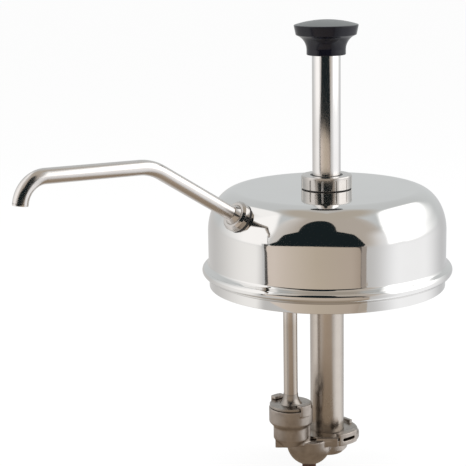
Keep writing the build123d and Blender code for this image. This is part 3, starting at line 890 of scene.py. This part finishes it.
def tangentArc(start, end, tangent, count):
    # points of the arc that leaves start along tangent and ends at end
    start, end, tangent = Vector(start), Vector(end), Vector(tangent).normalized()
    chord = end - start
    normal = Vector((-tangent.y, tangent.x))
    radius = chord.length_squared / (2 * chord.dot(normal))
    centre = start + normal * radius
    first, last = start - centre, end - centre
    turn = first.angle_signed(last)
    return [tuple(centre + Matrix.Rotation(-turn * k / count, 2) @ first) for k in range(count + 1)]


def makeKnob():
    low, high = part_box("knob")
    foot, top = low.z, high.z
    rim = top - knobValues["crown"]
    bandFoot = rim - knobValues["band"]
    stepFoot = bandFoot - knobValues["step"]
    flareFoot = foot + knobValues["neckHeight"]
    edge = knobValues["edge"]
    crown = tangentArc((0, top), (knobValues["rim"], rim), (1, 0), 30)
    flare = tangentArc((knobValues["neck"], flareFoot), (knobValues["flare"], stepFoot), (0, 1), 16)
    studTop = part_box("knob_insert")[1].z
    studFoot = studTop - knobValues["studHeight"]
    corners = [(*crown[-3], 0), (knobValues["rim"], rim, edge)]
    corners += [(knobValues["bandFoot"], bandFoot, 0.35 * mm), (*flare[-1], 0.5 * mm)]
    corners += [(*point, 0) for point in flare[-2:0:-1]]
    corners += [(knobValues["neck"], flareFoot, 0), (knobValues["neck"], foot, 0.6 * mm)]
    corners += [(knobValues["socket"], foot, 0.3 * mm), (knobValues["socket"], studFoot, 0)]
    corners += [(knobValues["stud"], studFoot, 0), (knobValues["stud"], studTop, 0)]
    outline = crown[:-3] + eased(corners, False, 9) + [(0, studTop)]
    return dressNode(turned("knobShell", outline, knobValues["steps"], sharpAngle=30), "knob")


makePlungerTube()
makeKnob()
print("plunger and knob made")

# ---- flange at the foot of the riser
riserValues = {
    "tube": 6.35 * mm,
    "plate": 2.5 * mm,
    "neckTop": 6.6 * mm,
    "neckFoot": 10.2 * mm,
    "ease": 0.35 * mm,
}


def makeRiserFlange():
    low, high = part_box("riser_flange")
    plateTop = low.z + riserValues["plate"]
    reach, ease = (high.x - low.x) / 2, riserValues["ease"]
    plate = [(riserValues["tube"], low.z, 0), (reach, low.z, ease), (reach, plateTop, ease),
             (riserValues["neckFoot"], plateTop, 0)]
    neck = tangentArc((riserValues["neckTop"], high.z), (riserValues["neckFoot"], plateTop), (0, -1), 14)
    outline = eased(plate, False) + neck[-2::-1] + [(riserValues["tube"], high.z)]
    place = Matrix.Translation(((high.x + low.x) / 2, 0, 0))
    return dressNode(turned("riserFlange", outline, 128, place, sharpAngle=40), "riser_flange")


makeRiserFlange()
print("riser flange made")

# ---- return spring
springValues = {"wire": 1.0 * mm, "mean": 9.3 * mm, "turns": 22, "steps": 40, "wireSteps": 14}


def makeSpring():
    low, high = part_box("return_spring")
    bottom, top = low.z + springValues["wire"], high.z - springValues["wire"]
    count = springValues["turns"] * springValues["steps"]
    lift = (top - bottom) / count
    climb = atan2(lift * springValues["steps"], 2 * pi * springValues["mean"])
    rings = [[Vector((springValues["mean"], 0, bottom))]]
    for k in range(count + 1):
        turn = 2 * pi * k / springValues["steps"]
        out = Vector((cos(turn), sin(turn), 0))
        across = Vector((sin(turn) * sin(climb), -cos(turn) * sin(climb), cos(climb)))
        centre = out * springValues["mean"] + Vector((0, 0, bottom + lift * k))
        spins = (2 * pi * i / springValues["wireSteps"] for i in range(springValues["wireSteps"]))
        rings.append([centre + (out * cos(s) + across * sin(s)) * springValues["wire"] for s in spins])
    rings.append([Vector((springValues["mean"], 0, top))])
    piece = dressNode(strung("returnSpring", rings), "return_spring")
    press = next(joint for joint in frame["joints"] if joint["name"] == "plunger_press")
    stroke = max(press["range_m"])
    (high.z - low.z - stroke) / (high.z - low.z)
    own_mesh(piece)
    return piece


makeSpring()
print("spring made")

# ---- plates, heads and small parts with broken edges
edgeValues = {
    "cylinder_head": 0.3 * mm,
    "head_gasket": 0.2 * mm,
    "collar_gasket": 0.2 * mm,
    "plunger_bushing": 0.3 * mm,
    "plunger_foot_ring": 0.3 * mm,
    "knob_insert": 0.3 * mm,
    "piston_upper_washer": 0.3 * mm,
    "piston_lower_washer": 0.3 * mm,
    "piston_nut": 0.4 * mm,
    "cylinder_tube": 0.3 * mm,
    "cylinder_flange": 0.35 * mm,
    "inlet_seat": 0.5 * mm,
    "ball_stop_pin": 0.3 * mm,
}
for nodeName, width in edgeValues.items():
    words = nodeName.split("_")
    pieceName = words[0] + "".join(word.capitalize() for word in words[1:]) + "Eased"
    dressNode(broken(pieceName, nodeName, width), nodeName)
print("broken edges made:", len(edgeValues))

# ---- valve body
castingValues = {"voxel": 0.5 * mm, "rounds": 8, "factor": 0.6}


def makeCasting():
    # the solid's own shape with the soft corners of a casting
    piece = copyNode("valveCasting", "valve_body")
    skin = piece.modifiers.new("skin", "REMESH")
    skin.mode = "VOXEL"
    skin.voxel_size = castingValues["voxel"]
    soften = piece.modifiers.new("soften", "SMOOTH")
    soften.factor = castingValues["factor"]
    soften.iterations = castingValues["rounds"]
    applyModifiers(piece)
    piece.data.shade_smooth()
    return dressNode(piece, "valve_body")


makeCasting()
print("valve body made")

# ---- studio
studioValues = {
    "cameraTurn": 42.0,
    "cameraReach": 1.2844,
    "cameraHeight": 0.3213,
    "yaw": 3.79,
    "pitch": 12.43,
    "roll": -0.96,
    "lens": 111.85,
    "sensor": 36.0,
    "floorDrop": 0.2 * mm,
    "floorReach": 14.0,
    "floorColour": (0.9, 0.9, 0.9),
    "floorGlow": 0.88,
    "worldLevel": 0.9,
}
cameraTurn = radians(studioValues["cameraTurn"])
toCamera = Vector((-sin(cameraTurn), -cos(cameraTurn), 0))
toRight = Vector((cos(cameraTurn), -sin(cameraTurn), 0))


def makeCamera():
    data = bpy.data.cameras.new("camera")
    data.lens = studioValues["lens"]
    data.sensor_width = studioValues["sensor"]
    camera = bpy.data.objects.new("camera", data)
    scene.collection.objects.link(camera)
    turn = Matrix.Rotation(radians(studioValues["yaw"]) - cameraTurn, 4, "Z")
    tilt = Matrix.Rotation(radians(90 - studioValues["pitch"]), 4, "X")
    roll = Matrix.Rotation(radians(studioValues["roll"]), 4, "Z")
    spot = toCamera * studioValues["cameraReach"] + Vector((0, 0, studioValues["cameraHeight"]))
    camera.matrix_world = Matrix.Translation(spot) @ turn @ tilt @ roll
    scene.camera = camera


def makeWorld():
    world = bpy.data.worlds.new("world")
    world.use_nodes = True
    scene.world = world
    graph = Graph(world.node_tree)
    back = graph.tree.nodes["Background"]
    level = studioValues["worldLevel"]
    graph.feed(back.inputs["Color"], (1, 1, 1))
    graph.feed(back.inputs["Strength"], graph.seen() * (1 - level) + level)


def makeFloor():
    height = cadBox[0].z - studioValues["floorDrop"]
    far = studioValues["floorReach"]
    corners = [(-far, -far, height), (far, -far, height), (far, far, height), (-far, far, height)]
    floor = addMesh("floor", corners, [(0, 1, 2, 3)])
    shader = Shader("floorPaper")
    shader.finish(baseColor=studioValues["floorColour"], roughness=0.9, specularIORLevel=0.0)
    paper = Signal(shader, shader.surface.outputs[0])
    glow = shader.node("ShaderNodeEmission", {}, {"Strength": 1.0})[0]
    share = shader.seen() * studioValues["floorGlow"]
    mix = shader.node("ShaderNodeMixShader", {}, {0: share, 1: paper, 2: glow})[0]
    floor.data.materials.append(shader.show(mix))


def rise(value, start, end):
    # 0 before start, 1 past end, smooth between
    share = min(1, max(0, (value - start) / (end - start)))
    return share * share * (3 - 2 * share)


def span(value, low, high, soft):
    return rise(value, low - soft, low + soft) * (1 - rise(value, high - soft, high + soft))


def oval(turn, lift, centre, radii, soft):
    reach = sqrt(((turn - centre[0]) / radii[0]) ** 2 + ((lift - centre[1]) / radii[1]) ** 2)
    return 1 - rise(reach, 1 - soft, 1 + soft)


def read(stops, value):
    # the colour at a value, straight between (value, colour) stops
    if value <= stops[0][0]:
        return Vector(stops[0][1])
    for (low, first), (high, last) in zip(stops, stops[1:]):
        if value <= high:
            return Vector(first).lerp(Vector(last), (value - low) / (high - low))
    return Vector(stops[-1][1])


def glowMaterial():
    # emission from the mesh's own colours, kept out of the light sampling
    shader = Shader("studioGlow")
    shader.tree.nodes.remove(shader.surface)
    paint = shader.node("ShaderNodeAttribute", {"attribute_name": "glow"}, {})["Color"]
    shader.material.cycles.emission_sampling = "NONE"
    return shader.show(shader.node("ShaderNodeEmission", {}, {"Color": paint})[0])


studioGlow = glowMaterial()


def hang(card, colours):
    # a card that only the metal sees
    paint = card.data.color_attributes.new("glow", "FLOAT_COLOR", "POINT")
    for i, colour in enumerate(colours):
        paint.data[i].color = (*colour, 1)
    card.data.materials.append(studioGlow)
    card.visible_camera = False
    card.visible_diffuse = False
    card.visible_transmission = False
    card.visible_shadow = False


def paintedSheet(name, across, upward, place, colour):
    # a grid over the two ranges, with place and colour given for each pair
    points = [place(u, v) for u in across for v in upward]
    rows = len(upward)
    faces = [(a, a + rows, a + rows + 1, a + 1)
             for i in range(len(across) - 1) for a in range(i * rows, i * rows + rows - 1)]
    hang(addMesh(name, points, faces), [colour(u, v) for u in across for v in upward])


# turns are 0 toward the camera and grow to its right, lifts are up, all in degrees
roomValues = {
    "reach": 1.2,
    "middle": 40 * mm,
    "overFloor": 2 * mm,
    "turnSteps": 240,
    "liftSteps": 120,
    "back": (0.68, 0.70, 0.705),
    "front": ((-52, (0.80, 0.77, 0.74)), (-30, (0.55, 0.49, 0.43)),
              (42, (0.55, 0.49, 0.43)), (54, (0.60, 0.56, 0.52))),
    "frontSpan": (-53, 54, 5),
    "halo": (1.0, 1.0, 1.01),
    "ceiling": (0.54, 0.485, 0.415),
    "rightWindow": {"level": 1.9, "turns": (57, 130, 2.5), "lifts": (0, 30, 3),
                    "centre": (101, 26), "radii": (43, 34), "soft": 0.08},
    "leftWindow": {"level": 1.26, "turns": (-116, -54, 1.5), "lifts": (-3, 25, 2),
                   "centre": (-96, 24), "radii": (44, 39), "soft": 0.06},
    "leftTint": (1, 0.985, 0.975),
    "lowLevel": 0.66,
    "lowLeft": 0.44,
    "lowRight": 0.51,
    "lowTints": ((1, 0.985, 0.97), (0.99, 0.995, 1.01)),
}


def roomPlace(turn, lift):
    # on the round wall, or on the floor where the line of sight meets it first
    turn, lift = radians(turn), radians(lift)
    reach = roomValues["reach"]
    ground = roomValues["middle"] - cadBox[0].z - roomValues["overFloor"]
    if reach * sin(-lift) > ground:
        reach = ground / sin(-lift)
    flat = toCamera * cos(turn) + toRight * sin(turn)
    return flat * reach * cos(lift) + Vector((0, 0, roomValues["middle"] + reach * sin(lift)))


def window(values, turn, lift):
    # a square window run together with an oval one
    square = span(turn, *values["turns"]) * span(lift, *values["lifts"])
    return max(square, oval(turn, lift, values["centre"], values["radii"], values["soft"]))


def rightWindow(turn, lift):
    # its far edge leans back and sharpens toward the top
    edge = 92 + 52 * rise(lift, 8, 40)
    past = (turn - edge) / (46 - 32 * rise(lift, 14, 32))
    fade = (1 - min(1, max(0, past))) ** 1.5
    return window(roomValues["rightWindow"], turn, lift) * fade * rise(lift, -4, 2)


def leftWindow(turn, lift):
    # it fades toward the back, except near the top
    ramp = min(1, max(0, (turn + 125) / 43))
    fade = max(ramp, 0.9 * rise(lift, 34, 48))
    return window(roomValues["leftWindow"], turn, lift) * fade * rise(lift, -5, -1)


def lowRing(turn):
    # the bright floor below the two windows
    level = roomValues["lowLevel"]
    level += roomValues["lowLeft"] * rise(turn, -135, -72) * (1 - rise(turn, -68, -56))
    level += roomValues["lowRight"] * rise(turn, 36, 70) * (1 - rise(turn, 98, 140))
    first, last = roomValues["lowTints"]
    return Vector(first).lerp(Vector(last), rise(turn, 30, 60)) * level


def roomColour(turn, lift):
    front = read(roomValues["front"], turn)
    colour = Vector(roomValues["back"]).lerp(front, span(turn, *roomValues["frontSpan"]))
    halo = rise(turn, 33, 58) * (1 - rise(turn, 58, 70)) * (1 - rise(lift, 16, 32))
    colour = colour.lerp(Vector(roomValues["halo"]), halo)
    overhead = rise(lift, 58, 72) * (1 - 0.5 * rise(abs(turn), 130, 170))
    colour = colour.lerp(Vector(roomValues["ceiling"]), overhead)
    right, left = rightWindow(turn, lift), leftWindow(turn, lift)
    colour = colour.lerp(Vector((1, 1, 1)) * roomValues["rightWindow"]["level"], right)
    colour = colour.lerp(Vector(roomValues["leftTint"]) * roomValues["leftWindow"]["level"], left)
    return colour.lerp(lowRing(turn), (1 - rise(lift, -4, 6)) * (1 - max(left, right)))


# places on the cards are millimetres to the right and up, as seen from the camera
cardValues = {
    "reach": 0.417,
    "darkGap": 8 * mm,
    "stripGap": 3 * mm,
    "darkLeft": ((-420, 20, 0), (-540, 60, 0), (-400, 120, 60), (-340, 240, 40), (-210, 300, 0)),
    "darkRight": ((70, 300, 0), (190, 240, 40), (270, 80, 0), (220, 20, 0)),
    "darkCrown": (-70, 300, 140, 500),
    "darkColour": (0.012, 0.018, 0.020),
    "beigeTop": 72,
    "beigeSag": 21,
    "beigeCrest": -80,
    "beige": ((-420, (0.80, 0.70, 0.62)), (-60, (0.60, 0.51, 0.41)), (150, (0.56, 0.47, 0.39)),
              (225, (0.44, 0.36, 0.29))),
    "pole": ((-545, 40), (-531, 40), (-573, 230), (-587, 230)),
    "poleColour": (0.10, 0.10, 0.10),
    "strips": {
        "leftDark": ((-640, -540), (-200, 58), (0.10, 0.095, 0.09)),
        "leftBand": ((-710, -640), (-200, 58), (0.68, 0.68, 0.68)),
        "rightDark": ((205, 231), (-88, 58), (0.10, 0.085, 0.075)),
        "rightBand": ((231, 278), (-88, 58), (0.40, 0.35, 0.31)),
        "rightFoot": ((200, 292), (-214, -88), (0.50, 0.43, 0.36)),
    },
    "table": {"left": -240, "width": 260, "flare": 0.65, "fronts": (-60, 417), "over": 4 * mm,
              # the near colour is painted shade, darker by the object
              "near": (0.36, 0.29, 0.22), "far": (0.60, 0.51, 0.43), "side": (0.72, 0.70, 0.68)},
}


def upright(reach):
    # places on an upright plane between the lid and the camera, from millimetres right and up
    def place(right, up):
        return toCamera * reach + toRight * right * mm + Vector((0, 0, up * mm))
    return place


def makeDarkCard():
    # a low dark card with sloping ends and a round crown
    place = upright(cardValues["reach"] + cardValues["darkGap"])
    middle, foot, width, height = cardValues["darkCrown"]
    crown = [(middle + width * x, foot + height * y) for x, y in arc((0, 0), 1, 170, 10)]
    dark = eased(cardValues["darkLeft"], False) + crown + eased(cardValues["darkRight"], False)
    card = addMesh("darkCard", [place(*spot) for spot in dark], [tuple(range(len(dark)))])
    hang(card, [cardValues["darkColour"]] * len(dark))


def beigePlace(right, share):
    # share runs from the floor to the rounded top, and the sides bow outward
    foot = cadBox[0].z / mm + 3
    sag = cardValues["beigeSag"] * (abs(right - cardValues["beigeCrest"]) / 300) ** 1.6
    top = cardValues["beigeTop"] - sag - 12 * (1 - span(right, -532, 200, 10))
    up = foot + (top - foot) * share
    bulge = max(0, 1 - ((up + 50) / 110) ** 2)
    spread = 18 * bulge * rise(right, 100, 208) - 38 * bulge * (1 - rise(right, -540, -300))
    return upright(cardValues["reach"])(right + spread, up)


def beigeColour(right, share):
    return read(cardValues["beige"], right)


def makeStrips():
    place = upright(cardValues["reach"] + cardValues["stripGap"])
    pole = [place(*spot) for spot in cardValues["pole"]]
    hang(addMesh("pole", pole, [(0, 1, 2, 3)]), [cardValues["poleColour"]] * len(pole))
    for name, (sides, heights, colour) in cardValues["strips"].items():
        paintedSheet(name, evenly(*sides, 2), evenly(*heights, 2), place, lambda right, up: Vector(colour))


def tableRight(share, front):
    # its right edge flares toward the camera
    table = cardValues["table"]
    return table["left"] + (table["width"] + table["flare"] * max(front, 0)) * share


def tablePlace(share, front):
    height = cadBox[0].z + cardValues["table"]["over"]
    return toCamera * front * mm + toRight * tableRight(share, front) * mm + Vector((0, 0, height))


def tableColour(share, front):
    table = cardValues["table"]
    # painted shade: the table the metal sees is darker near the object
    colour = Vector(table["near"]).lerp(Vector(table["far"]), rise(front, 120, 400))
    return colour.lerp(Vector(table["side"]), 1 - rise(tableRight(share, front), -240, -90))


def makeCards():
    turns = evenly(-180, 180, roomValues["turnSteps"])
    lifts = evenly(-90, 90, roomValues["liftSteps"])
    paintedSheet("room", turns, lifts, roomPlace, roomColour)
    makeDarkCard()
    paintedSheet("beige", evenly(-540, 208, 60), evenly(0, 1, 16), beigePlace, beigeColour)
    makeStrips()
    fronts = evenly(*cardValues["table"]["fronts"], 24)
    paintedSheet("table", evenly(0, 1, 24), fronts, tablePlace, tableColour)


# place to the right, toward the camera and up, then size and power
lampValues = {
    "rightLamp": ((1.1, 0.5, 0.7), 0.8, 14.0),
    "leftLamp": ((-1.1, 0.5, 0.6), 0.8, 8.0),
    "topLamp": ((0, 0, 1.3), 1.0, 8.0),
}


def makeLamps():
    aim = Vector((0, 0, 0.02))
    for name, ((right, front, up), size, power) in lampValues.items():
        spot = toRight * right + toCamera * front + Vector((0, 0, up))
        data = bpy.data.lights.new(name, "AREA")
        data.size = size
        data.energy = power
        lamp = bpy.data.objects.new(name, data)
        lamp.matrix_world = placeAlong(spot, spot - aim)
        lamp.visible_glossy = False
        scene.collection.objects.link(lamp)


makeCamera()
makeWorld()
makeFloor()
makeCards()
makeLamps()
scene.view_settings.view_transform = "Standard"
print("studio set")
